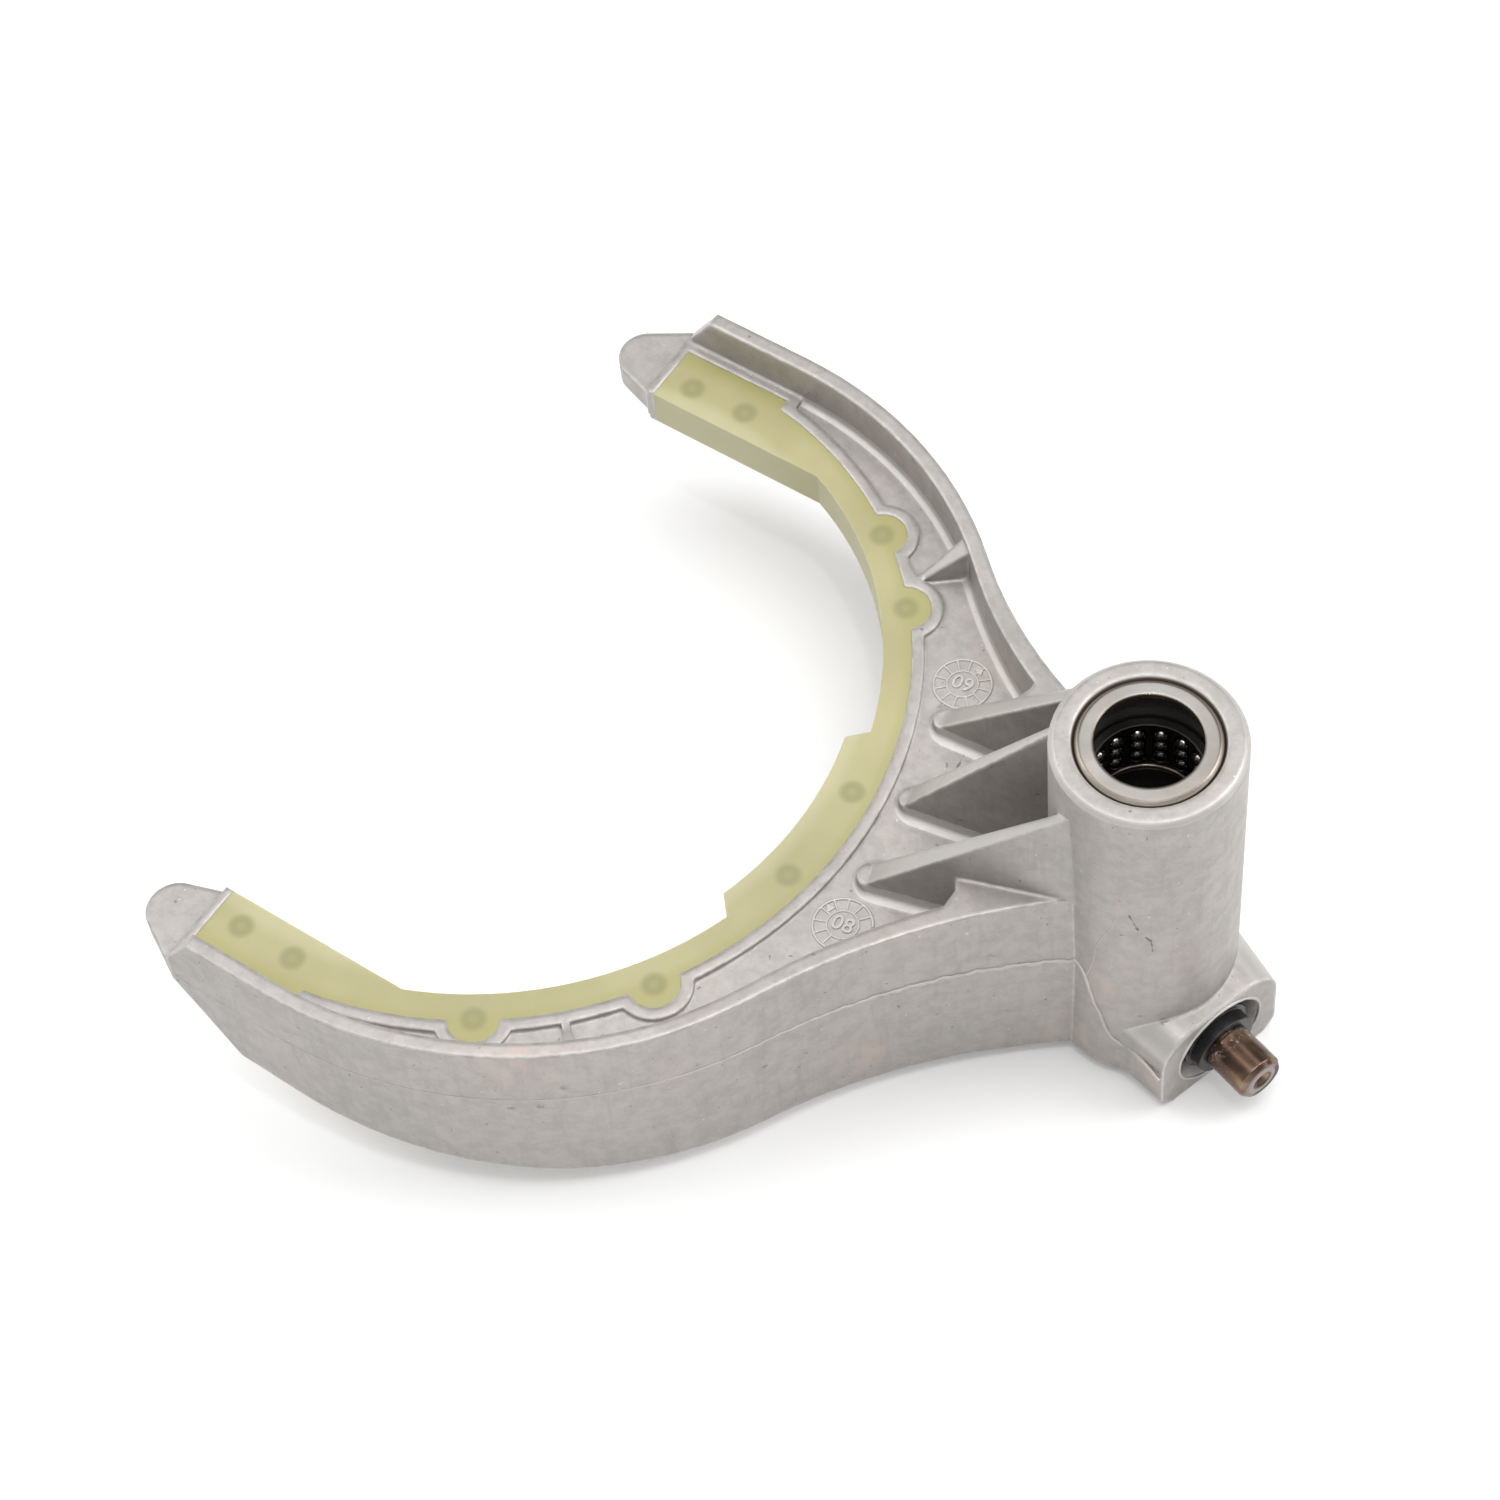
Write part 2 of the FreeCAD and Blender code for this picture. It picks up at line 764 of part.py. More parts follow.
def pieces():
    """Every node of the fork, by name."""
    upper_top = hub_top
    lower_top = hub_bottom + seat_drop + bearing_length
    made = {
        "fork_casting": fork_casting(),
        "fork_liner": fork_liner(),
        "follower_pin": follower_pin(),
        "pin_collar": pin_collar(),
    }
    upper_shell = bearing_shell(upper_top, upper_top - bearing_length)
    lower_shell = bearing_shell(lower_top - bearing_length, lower_top)
    made["bearing_shells"] = Part.makeCompound([upper_shell, lower_shell])
    for name, top in (("upper", upper_top), ("lower", lower_top)):
        cage_bottom = top - bearing_length + lip_thickness + cage_rest_gap
        made[name + "_ball_cage"] = ball_cage(cage_bottom)
        made[name + "_bearing_balls"] = bearing_balls(cage_bottom)
    return made


os.makedirs("parts", exist_ok=True)
for node, shape in pieces().items():
    shape.exportStep("parts/" + node + ".step")
    box = shape.BoundBox
    print(node, "valid", shape.isValid(), "solids", len(shape.Solids), "volume", round(shape.Volume, 1))
    print("  box", [round(v, 2) for v in (box.XMin, box.YMin, box.ZMin, box.XMax, box.YMax, box.ZMax)])
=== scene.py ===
import bpy
import math
from mathutils import Matrix, Vector


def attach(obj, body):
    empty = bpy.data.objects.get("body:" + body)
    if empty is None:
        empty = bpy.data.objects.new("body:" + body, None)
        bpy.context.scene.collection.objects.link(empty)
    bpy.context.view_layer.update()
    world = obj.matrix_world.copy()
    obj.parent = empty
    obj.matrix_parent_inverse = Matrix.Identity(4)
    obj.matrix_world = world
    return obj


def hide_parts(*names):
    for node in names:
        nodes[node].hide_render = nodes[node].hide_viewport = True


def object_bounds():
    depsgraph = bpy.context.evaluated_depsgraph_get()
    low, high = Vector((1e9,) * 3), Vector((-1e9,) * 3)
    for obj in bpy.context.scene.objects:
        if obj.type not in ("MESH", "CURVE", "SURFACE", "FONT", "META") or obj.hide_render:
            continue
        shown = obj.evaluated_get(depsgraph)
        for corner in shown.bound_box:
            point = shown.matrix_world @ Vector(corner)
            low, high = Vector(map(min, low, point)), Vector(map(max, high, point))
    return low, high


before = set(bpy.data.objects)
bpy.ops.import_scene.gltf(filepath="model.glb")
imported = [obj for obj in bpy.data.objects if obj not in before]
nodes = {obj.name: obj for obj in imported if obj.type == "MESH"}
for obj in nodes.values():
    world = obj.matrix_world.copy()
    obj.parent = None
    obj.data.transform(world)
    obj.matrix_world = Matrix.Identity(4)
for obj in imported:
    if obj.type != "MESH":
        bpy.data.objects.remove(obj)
cad_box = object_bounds()
MM = 0.001

# The camera, as it stood over the fork.
picture_size = 1500
camera_turn = 39.98
camera_height_angle = 56.74
camera_roll = -6.82
camera_distance = 0.7229
camera_lens = 99.61
camera_sensor = 36.0
camera_target = Vector((-0.11889, -0.02025, 0.004))
target_across = 498.7
target_down = 659.32

# The fork's own measures that the pieces here follow, in millimetres and degrees.
# Each outer wall's plan is a straight end, an arc out to the bend and an arc back in at the waist.
sleeve_x = -118.9
sleeve_y = -20.25
web_top = 3.0
hub_radius = 16.0
parting_height = -2.0
wall_end = -11.5
near_bend = {
    "side": -1, "straight": 78.25, "x": 10.3, "radius": 77.7, "turn": 27.6, "waist": 120.4, "end": 242.3,
}
far_bend = {
    "side": 1, "straight": 78.7, "x": 12.7, "radius": 75.6, "turn": 47.5, "waist": 100.6, "end": 261.8,
}
peg_tips = [(-5.0, 66.75), (6.2, 67.05), (-5.0, -66.75), (6.2, -67.05)]
peg_rounds = [(68.2, 8.2), (68.2, -8.2), (71.2, 53.6), (71.5, 40.4), (71.9, -32.8), (71.7, -57.2)]
seat_edge_radius = 12.75
pin_heading = -17.0
pin_offset = 0.8
pin_height = -24.0
pin_end = 29.3
boss_reach = 18.6
recess_radius = 9.0
ball_diameter = 2.78
ball_circle = 9.39
ball_columns = 15
ball_rows = 3
row_pitch = 2.9
cage_bottoms = {"upper": 26.95, "lower": -28.95}

# Measures of the date dials, in millimetres.
dial_ring_radius = 5.05
dial_ring_thickness = 0.27
dial_hub_radius = 2.7
dial_hub_thickness = 0.22
dial_ticks = 12
tick_circle = 3.9
tick_size = (2.1, 0.55, 0.44)
arrow_radius = 0.95
arrow_height = 0.3
arrow_lift = 0.05
digit_size = 3.9
digit_height = 0.2
digit_edge = 0.07
digit_turn = 9

# Measures of the moulding seams and of the lip round the boss's recess, in millimetres.
thin_seam = 0.10
seam_stations = 70
seam_into_hub = 0.3
ragged_from = -52.0
ragged_over = 30.0
ragged_least = 0.14
ragged_more = 0.32
seam_wander = 0.35
hub_seam_thickness = 0.40
lip_thickness = 0.32
lip_clearance = 0.15
lip_unevenness = 0.09
lip_sink = 0.02


def node_of(tree, kind, **settings):
    """Adds a node and sets its properties."""
    made = tree.nodes.new(kind)
    for name, value in settings.items():
        setattr(made, name, value)
    return made


def join(tree, source, target):
    tree.links.new(source, target)


def give(tree, socket, value):
    """Sets a socket to a number or colour, or links it to another socket."""
    if isinstance(value, bpy.types.NodeSocket):
        join(tree, value, socket)
    elif isinstance(value, tuple) and len(socket.default_value) == 4:
        socket.default_value = value + (1.0,)
    else:
        socket.default_value = value


def noise(tree, place, scale, detail, rough=0.5):
    """Noise with about scale cells to the metre."""
    made = node_of(tree, "ShaderNodeTexNoise")
    join(tree, place, made.inputs["Vector"])
    give(tree, made.inputs["Scale"], scale)
    give(tree, made.inputs["Detail"], detail)
    give(tree, made.inputs["Roughness"], rough)
    return made.outputs["Fac"]


def spread(tree, value, low, high, to_low=0.0, to_high=1.0):
    """Maps a value smoothly from one range to another and keeps it inside."""
    made = node_of(tree, "ShaderNodeMapRange", interpolation_type="SMOOTHSTEP")
    join(tree, value, made.inputs["Value"])
    for name, number in (("From Min", low), ("From Max", high), ("To Min", to_low), ("To Max", to_high)):
        give(tree, made.inputs[name], number)
    return made.outputs["Result"]


def math_of(tree, operation, first, second):
    made = node_of(tree, "ShaderNodeMath", operation=operation)
    give(tree, made.inputs[0], first)
    give(tree, made.inputs[1], second)
    return made.outputs["Value"]


def times(tree, first, second):
    return math_of(tree, "MULTIPLY", first, second)


def band(tree, value, low, high, soft):
    """One between two limits and nought outside, with a soft border inside each."""
    return times(tree, spread(tree, value, low, low + soft), spread(tree, value, high, high - soft))


def vector_of(tree, operation, first, second, output="Vector"):
    made = node_of(tree, "ShaderNodeVectorMath", operation=operation)
    give(tree, made.inputs[0], first)
    give(tree, made.inputs[1], second)
    return made.outputs[output]


def tint(tree, share, first, second):
    """Mixes two colours, each a socket or three numbers, by a share."""
    made = node_of(tree, "ShaderNodeMix", data_type="RGBA")
    join(tree, share, made.inputs[0])
    give(tree, made.inputs[6], first)
    give(tree, made.inputs[7], second)
    return made.outputs[2]


def stretched(tree, place, sizes, turn=(0.0, 0.0, 0.0), shift=(0.0, 0.0, 0.0)):
    """The place scaled along each axis, turned and shifted, for a pattern of its own."""
    made = node_of(tree, "ShaderNodeMapping")
    join(tree, place, made.inputs["Vector"])
    made.inputs["Scale"].default_value = sizes
    made.inputs["Rotation"].default_value = turn
    made.inputs["Location"].default_value = shift
    return made.outputs["Vector"]


def radius_of(tree, place):
    """Distance from the rail's axis."""
    flat = vector_of(tree, "MULTIPLY", place, (1.0, 1.0, 0.0))
    return vector_of(tree, "LENGTH", flat, (0.0, 0.0, 0.0), "Value")


def nearest(tree, place, spots):
    """Distance to the nearest of several spots, given in millimetres."""
    best = None
    for spot in spots:
        away = vector_of(tree, "DISTANCE", place, tuple(value * MM for value in spot), "Value")
        best = away if best is None else math_of(tree, "MINIMUM", best, away)
    return best


def line_distance(tree, place, points):
    """Distance to a line through points, given in millimetres."""
    best = None
    for first, second in zip(points, points[1:]):
        start = Vector(first) * MM
        way = Vector(second) * MM - start
        from_start = vector_of(tree, "SUBTRACT", place, tuple(start))
        along = vector_of(tree, "DOT_PRODUCT", from_start, tuple(way / way.length_squared), "Value")
        share = math_of(tree, "MINIMUM", math_of(tree, "MAXIMUM", along, 0.0), 1.0)
        foot = node_of(tree, "ShaderNodeVectorMath", operation="SCALE")
        foot.inputs[0].default_value = way
        join(tree, share, foot.inputs["Scale"])
        gap = vector_of(tree, "DISTANCE", from_start, foot.outputs["Vector"], "Value")
        best = gap if best is None else math_of(tree, "MINIMUM", best, gap)
    return best


def new_group(name, inputs, outputs):
    """A shader node group with named inputs and outputs."""
    group = bpy.data.node_groups.new(name, "ShaderNodeTree")
    for label, kind in inputs:
        group.interface.new_socket(label, in_out="INPUT", socket_type=kind)
    for label, kind in outputs:
        group.interface.new_socket(label, in_out="OUTPUT", socket_type=kind)
    start = node_of(group, "NodeGroupInput").outputs
    end = node_of(group, "NodeGroupOutput").inputs
    return group, start, end


def edge_wear_and_highlight_group():
    """Puts out one on edges, for wear and for a painted edge highlight, and nought on open faces."""
    inputs = (("Place", "NodeSocketVector"), ("Width", "NodeSocketFloat"), ("Breakup", "NodeSocketFloat"))
    group, start, end = new_group("edge_wear_and_highlight", inputs, (("Mask", "NodeSocketFloat"),))
    rounded = node_of(group, "ShaderNodeBevel", samples=6)
    join(group, start["Width"], rounded.inputs["Radius"])
    face = node_of(group, "ShaderNodeNewGeometry")
    agree = vector_of(group, "DOT_PRODUCT", rounded.outputs["Normal"], face.outputs["Normal"], "Value")
    edge = spread(group, agree, 0.985, 0.80)
    patchy = spread(group, noise(group, start["Place"], start["Breakup"], 4), 0.32, 0.60, 0.35, 1.0)
    join(group, times(group, edge, patchy), end["Mask"])
    return group


def fine_grain_group():
    """Puts out a fine grain and a soft cloud, each about a half."""
    inputs = (
        ("Place", "NodeSocketVector"), ("Grain Size", "NodeSocketFloat"), ("Cloud Size", "NodeSocketFloat"),
    )
    outputs = (("Grain", "NodeSocketFloat"), ("Cloud", "NodeSocketFloat"))
    group, start, end = new_group("fine_grain", inputs, outputs)
    join(group, noise(group, start["Place"], start["Grain Size"], 2, 0.55), end["Grain"])
    join(group, noise(group, start["Place"], start["Cloud Size"], 5, 0.55), end["Cloud"])
    return group


edge_wear_and_highlight = edge_wear_and_highlight_group()
fine_grain = fine_grain_group()


def wear_and_highlight(tree, place, width, breakup):
    """The edge wear and painted highlight group in a material: how wide in metres, and how finely it breaks
    up.
    """
    made = node_of(tree, "ShaderNodeGroup", node_tree=edge_wear_and_highlight)
    join(tree, place, made.inputs["Place"])
    give(tree, made.inputs["Width"], width)
    give(tree, made.inputs["Breakup"], breakup)
    return made.outputs["Mask"]


def grain(tree, place, grain_size, cloud_size):
    """The fine grain group in a material, with its cells to the metre."""
    made = node_of(tree, "ShaderNodeGroup", node_tree=fine_grain)
    join(tree, place, made.inputs["Place"])
    give(tree, made.inputs["Grain Size"], grain_size)
    give(tree, made.inputs["Cloud Size"], cloud_size)
    return made.outputs["Grain"], made.outputs["Cloud"]


def new_material(name):
    """A material whose patterns read Object coordinates."""
    made = bpy.data.materials.new(name)
    made.use_nodes = True
    tree = made.node_tree
    shader = tree.nodes["Principled BSDF"]
    coordinates = node_of(tree, "ShaderNodeTexCoord")
    return made, tree, shader, coordinates.outputs["Object"]


def bump_into(tree, shader, height, distance, strength, edge_radius):
    """Bump over a rounded edge normal."""
    bump = node_of(tree, "ShaderNodeBump")
    bump.inputs["Strength"].default_value = strength
    bump.inputs["Distance"].default_value = distance
    join(tree, height, bump.inputs["Height"])
    edge = node_of(tree, "ShaderNodeBevel", samples=8)
    edge.inputs["Radius"].default_value = edge_radius
    join(tree, edge.outputs["Normal"], bump.inputs["Normal"])
    join(tree, bump.outputs["Normal"], shader.inputs["Normal"])


# Marks on the casting, in millimetres: a crack in the web and one on the hub, small dark dents,
# and the middle and reach of each place that handling has rubbed warm.
web_crack = [(-40.2, 8.9, 3.0), (-39.9, 6.9, 3.0), (-39.2, 2.6, 3.0)]
hub_crack = [
    (5.8, -14.9, 20.3), (6.7, -14.5, 17.4), (7.6, -14.0, 14.8), (9.0, -13.2, 12.8), (9.3, -13.0, 9.4),
]
dark_dents = [
    (-68.7, -87.5, -4.7), (-64.5, -84.8, -4.7), (-61.0, -82.3, 1.5), (-39.0, -56.0, -10.5),
    (-48.6, 12.6, 3.0), (-14.5, -24.4, 2.0), (10.9, -11.7, -14.0), (-31.5, 33.0, 3.0),
]
rubbed_spots = [
    ((-66.0, -86.0, 10.0), 11.0), ((0.6, -16.0, -5.0), 5.0), ((1.2, -16.0, -12.0), 4.0),
    ((-1.5, -15.9, -25.5), 6.0), ((-30.5, -41.9, -21.5), 9.0), ((-9.0, -19.0, -26.0), 6.0),
    ((12.0, -17.0, -24.0), 6.0), ((4.0, -15.5, 22.0), 3.0), ((-44.0, 26.0, 3.0), 8.0),
]

# Colours of the cast aluminium.
skin_dark = (0.385, 0.362, 0.342)
skin_light = (0.446, 0.422, 0.402)
skin_streak = (0.340, 0.316, 0.296)
skin_warm = (0.46, 0.388, 0.362)
skin_cool = (0.39, 0.385, 0.378)
pit_dark = (0.14, 0.13, 0.12)
painted_glint_bright = (0.75, 0.73, 0.70)
painted_slope_highlight = (0.64, 0.62, 0.59)
painted_recess_shade = (0.22, 0.205, 0.19)
rubbed_warm = (0.54, 0.445, 0.40)
crack_dark = (0.13, 0.12, 0.11)
dent_grey = (0.20, 0.19, 0.18)
cast_edge_wear_and_highlight = (0.74, 0.72, 0.69)
fresh_flash = (0.66, 0.63, 0.60)
painted_seat_gap_shade = (0.095, 0.078, 0.064)


def cast_skin_group():
    """Die-cast skin: grey with fine mottling, rubbed warm patches, streaks, pits and painted glints."""
    outputs = (("Color", "NodeSocketColor"), ("Roughness", "NodeSocketFloat"), ("Height", "NodeSocketFloat"))
    group, start, end = new_group("cast_skin", (("Place", "NodeSocketVector"),), outputs)
    place = start["Place"]
    clouds = noise(group, place, 48, 5, 0.6)
    mottle = noise(group, place, 330, 6, 0.65)
    fine = noise(group, place, 1500, 3, 0.6)
    streaks = noise(group, stretched(group, place, (620, 620, 60)), 1.0, 4, 0.6)
    pits = noise(group, place, 820, 1)
    # Painted glints: sparse bright specks that stand in for glints of light off the rough skin.
    glints = noise(group, stretched(group, place, (1100, 1100, 1100), shift=(7.0, 3.0, 1.0)), 1.0, 1)
    colour = tint(group, spread(group, mottle, 0.35, 0.65), skin_dark, skin_light)
    colour = tint(group, spread(group, streaks, 0.50, 0.72, 0, 0.4), colour, skin_streak)
    colour = tint(group, spread(group, clouds, 0.52, 0.72, 0, 0.35), colour, skin_warm)
    colour = tint(group, spread(group, clouds, 0.46, 0.30, 0, 0.3), colour, skin_cool)
    colour = tint(group, spread(group, pits, 0.750, 0.785, 0, 0.6), colour, pit_dark)
    colour = tint(group, spread(group, glints, 0.765, 0.80, 0, 0.5), colour, painted_glint_bright)
    smoother = spread(group, clouds, 0.3, 0.7, 0.50, 0.40)
    rougher = spread(group, fine, 0.3, 0.7, 0.0, 0.10)
    height = math_of(group, "ADD", times(group, fine, 0.35), times(group, mottle, 0.3))
    join(group, colour, end["Color"])
    join(group, math_of(group, "ADD", smoother, rougher), end["Roughness"])
    join(group, height, end["Height"])
    return group


cast_skin = cast_skin_group()


def cast_material(name, edge_radius, edge_band_width, brightened):
    """Cast aluminium with its marks, painted highlights and painted shade; brightened is how fresh and pale
    a raised detail is.
    """
    made, tree, shader, place = new_material(name)
    skin = node_of(tree, "ShaderNodeGroup", node_tree=cast_skin)
    join(tree, place, skin.inputs["Place"])
    colour = skin.outputs["Color"]

    # Slopes between upright and level faces are painted brighter: a painted highlight where they turn up
    # towards the light.
    coordinates = tree.nodes["Texture Coordinate"]
    facing = node_of(tree, "ShaderNodeSeparateXYZ")
    join(tree, coordinates.outputs["Normal"], facing.inputs[0])
    level = facing.outputs["Z"]
    slope = times(tree, spread(tree, level, 0.22, 0.45), spread(tree, level, 0.985, 0.93))
    colour = tint(tree, times(tree, slope, 0.6), colour, painted_slope_highlight)

    # The upright faces between the ribs are darkened: painted shade in the recess between them.
    parts = node_of(tree, "ShaderNodeSeparateXYZ")
    join(tree, place, parts.inputs[0])
    upright = spread(tree, level, 0.34, 0.18)
    lengthwise = band(tree, parts.outputs["X"], -50 * MM, -12 * MM, 4 * MM)
    across = band(tree, parts.outputs["Y"], -25 * MM, 22 * MM, 4 * MM)
    above_web = spread(tree, parts.outputs["Z"], (web_top - 0.5) * MM, (web_top + 0.5) * MM)
    recess_shade_mask = times(tree, times(tree, times(tree, lengthwise, across), upright), above_web)
    colour = tint(tree, times(tree, recess_shade_mask, 0.15), colour, painted_recess_shade)

    # Rubbed places, cracks and dents.
    streak = noise(tree, stretched(tree, place, (260, 260, 90)), 1.0, 5, 0.65)
    for spot, size in rubbed_spots:
        near = spread(tree, nearest(tree, place, [spot]), size * MM, size * 0.3 * MM)
        share = times(tree, near, spread(tree, streak, 0.44, 0.60, 0.1, 0.6))
        colour = tint(tree, share, colour, rubbed_warm)
    ragged = noise(tree, place, 700, 3)
    for crack in (web_crack, hub_crack):
        gap = line_distance(tree, place, crack)
        off_line = math_of(tree, "ADD", gap, spread(tree, ragged, 0.35, 0.65, -0.10 * MM, 0.22 * MM))
        cracked = spread(tree, off_line, 0.22 * MM, 0.08 * MM, 0, 0.85)
        colour = tint(tree, cracked, colour, crack_dark)
    ragged_border = spread(tree, ragged, 0.3, 0.7, -0.4 * MM, 0.5 * MM)
    off_dent = math_of(tree, "ADD", nearest(tree, place, dark_dents), ragged_border)
    dented = spread(tree, off_dent, 0.9 * MM, 0.3 * MM, 0, 0.7)
    colour = tint(tree, dented, colour, dent_grey)

    # Edges lightened: bare worn edges, and a painted highlight along them.
    colour = tint(tree, wear_and_highlight(tree, place, edge_band_width, 420.0), colour, cast_edge_wear_and_highlight)
    if brightened:
        fresh = spread(tree, streak, 0.35, 0.65, brightened * 0.7, brightened)
        colour = tint(tree, fresh, colour, fresh_flash)
    # Painted shade: the casting darkens to near black in the gap round the bearing's seat.
    shade_starts_at = (seat_edge_radius - 0.30) * MM
    shade_full_at = (seat_edge_radius - 0.55) * MM
    seat_gap_shade = spread(tree, radius_of(tree, place), shade_starts_at, shade_full_at)
    colour = tint(tree, seat_gap_shade, colour, painted_seat_gap_shade)
    join(tree, colour, shader.inputs["Base Color"])
    join(tree, skin.outputs["Roughness"], shader.inputs["Roughness"])
    shader.inputs["Metallic"].default_value = 0.6
    bump_into(tree, shader, skin.outputs["Height"], 0.30 * MM, 0.35, edge_radius)
    return made


def liner_material():
    """Waxy nylon that shows the pegs under its skin."""
    made, tree, shader, place = new_material("moulded_nylon")
    fine, clouds = grain(tree, place, 900.0, 45.0)
    nylon_dark = (0.378, 0.350, 0.180)
    nylon_light = (0.436, 0.405, 0.222)
    nylon_by_rim = (0.36, 0.335, 0.115)
    nylon_by_sleeve = (0.56, 0.54, 0.36)
    peg_shadow = (0.25, 0.245, 0.11)
    nylon_edge = (0.60, 0.575, 0.40)
    colour = tint(tree, spread(tree, clouds, 0.32, 0.68), nylon_dark, nylon_light)
    flat = vector_of(tree, "MULTIPLY", place, (1.0, 1.0, 0.0))
    centre = (sleeve_x * MM, sleeve_y * MM, 0.0)
    reach = vector_of(tree, "DISTANCE", flat, centre, "Value")
    by_rim = spread(tree, reach, 69.5 * MM, 72.2 * MM, 0, 0.55)
    by_sleeve = spread(tree, reach, 66.5 * MM, 63.5 * MM, 0, 0.35)
    colour = tint(tree, by_rim, colour, nylon_by_rim)
    colour = tint(tree, by_sleeve, colour, nylon_by_sleeve)
    spots = [(sleeve_x + x, sleeve_y + y, 0.0) for x, y in peg_tips]
    for radius, degrees in peg_rounds:
        turn = math.radians(degrees)
        spots.append((sleeve_x + radius * math.cos(turn), sleeve_y + radius * math.sin(turn), 0.0))
    away = nearest(tree, flat, spots)
    spot_shade = spread(tree, away, 2.9 * MM, 1.4 * MM)
    lighter_middle = spread(tree, away, 1.1 * MM, 0.4 * MM, 0, 0.25)
    shade = math_of(tree, "SUBTRACT", spot_shade, lighter_middle)
    colour = tint(tree, times(tree, shade, 0.7), colour, peg_shadow)
    colour = tint(tree, wear_and_highlight(tree, place, 0.4 * MM, 300.0), colour, nylon_edge)
    join(tree, colour, shader.inputs["Base Color"])
    join(tree, spread(tree, clouds, 0.3, 0.7, 0.30, 0.42), shader.inputs["Roughness"])
    shader.inputs["Subsurface Weight"].default_value = 0.35
    shader.inputs["Subsurface Radius"].default_value = (4 * MM, 4 * MM, 2 * MM)
    shader.inputs["Subsurface Scale"].default_value = 0.5
    bump_into(tree, shader, fine, 0.06 * MM, 0.2, 0.5 * MM)
    return made


def pin_material():
    """Brown phosphate coat with golden patches, partly tint and partly a painted highlight, and a ground,
    ringed end.
    """
    made, tree, shader, place = new_material("coated_pin_steel")
    fine, clouds = grain(tree, place, 1700.0, 95.0)
    coat_dark = (0.085, 0.050, 0.037)
    coat_light = (0.155, 0.098, 0.072)
    gold_tint_and_highlight = (0.38, 0.27, 0.165)
    coat_scuff = (0.72, 0.60, 0.60)
    pin_edge = (0.62, 0.55, 0.52)
    drill_rim = (0.40, 0.36, 0.34)
    centre_cone = (0.12, 0.09, 0.08)
    ground_face = (0.27, 0.23, 0.21)
    outer_face = (0.20, 0.15, 0.135)
    chamfer_shade_black = (0.020, 0.015, 0.013)
    turn = math.radians(-pin_heading)
    to_axis = (0.0, -pin_offset * MM, -pin_height * MM)
    own = stretched(tree, place, (1.0, 1.0, 1.0), (0.0, 0.0, turn), to_axis)
    round_the_axis = vector_of(tree, "MULTIPLY", own, (0.0, 1.0, 1.0))
    radius = vector_of(tree, "LENGTH", round_the_axis, (0.0, 0.0, 0.0), "Value")
    parts = node_of(tree, "ShaderNodeSeparateXYZ")
    join(tree, own, parts.inputs[0])
    along = parts.outputs["X"]
    colour = tint(tree, spread(tree, clouds, 0.36, 0.64), coat_dark, coat_light)
    # Golden patches: partly the coat's golden tint, partly a painted highlight along the pin.
    patches = noise(tree, stretched(tree, place, (150, 170, 170)), 1.0, 2)
    colour = tint(tree, spread(tree, patches, 0.46, 0.64, 0, 0.6), colour, gold_tint_and_highlight)
    scuffs = spread(tree, noise(tree, place, 1500, 3), 0.55, 0.66)
    by_collar = times(tree, scuffs, spread(tree, along, 24.0 * MM, 20.5 * MM, 0.0, 0.8))
    colour = tint(tree, by_collar, colour, coat_scuff)
    colour = tint(tree, wear_and_highlight(tree, place, 0.4 * MM, 600.0), colour, pin_edge)
    on_end = spread(tree, along, (pin_end - 0.35) * MM, (pin_end - 0.1) * MM)
    rings = tint(tree, spread(tree, radius, 1.05 * MM, 1.25 * MM), drill_rim, centre_cone)
    rings = tint(tree, spread(tree, radius, 1.85 * MM, 2.15 * MM), rings, ground_face)
    rings = tint(tree, spread(tree, radius, 2.90 * MM, 3.10 * MM), rings, outer_face)
    colour = tint(tree, on_end, colour, rings)

    # The lower side of the chamfer is painted black: painted shade.
    past_chamfer = spread(tree, along, (pin_end - 0.95) * MM, (pin_end - 0.75) * MM)
    outside_ring = spread(tree, radius, 2.7 * MM, 3.0 * MM)
    lean = math_of(tree, "SUBTRACT", parts.outputs["Y"], parts.outputs["Z"])
    lower_side = spread(tree, lean, 0.3 * MM, 2.2 * MM)
    painted_chamfer_shade = times(tree, times(tree, past_chamfer, outside_ring), lower_side)
    colour = tint(tree, painted_chamfer_shade, colour, chamfer_shade_black)
    join(tree, colour, shader.inputs["Base Color"])
    join(tree, spread(tree, clouds, 0.3, 0.7, 0.24, 0.32), shader.inputs["Roughness"])
    shader.inputs["Metallic"].default_value = 0.95
    bump_into(tree, shader, math_of(tree, "ADD", fine, by_collar), 0.04 * MM, 0.15, 0.4 * MM)
    return made


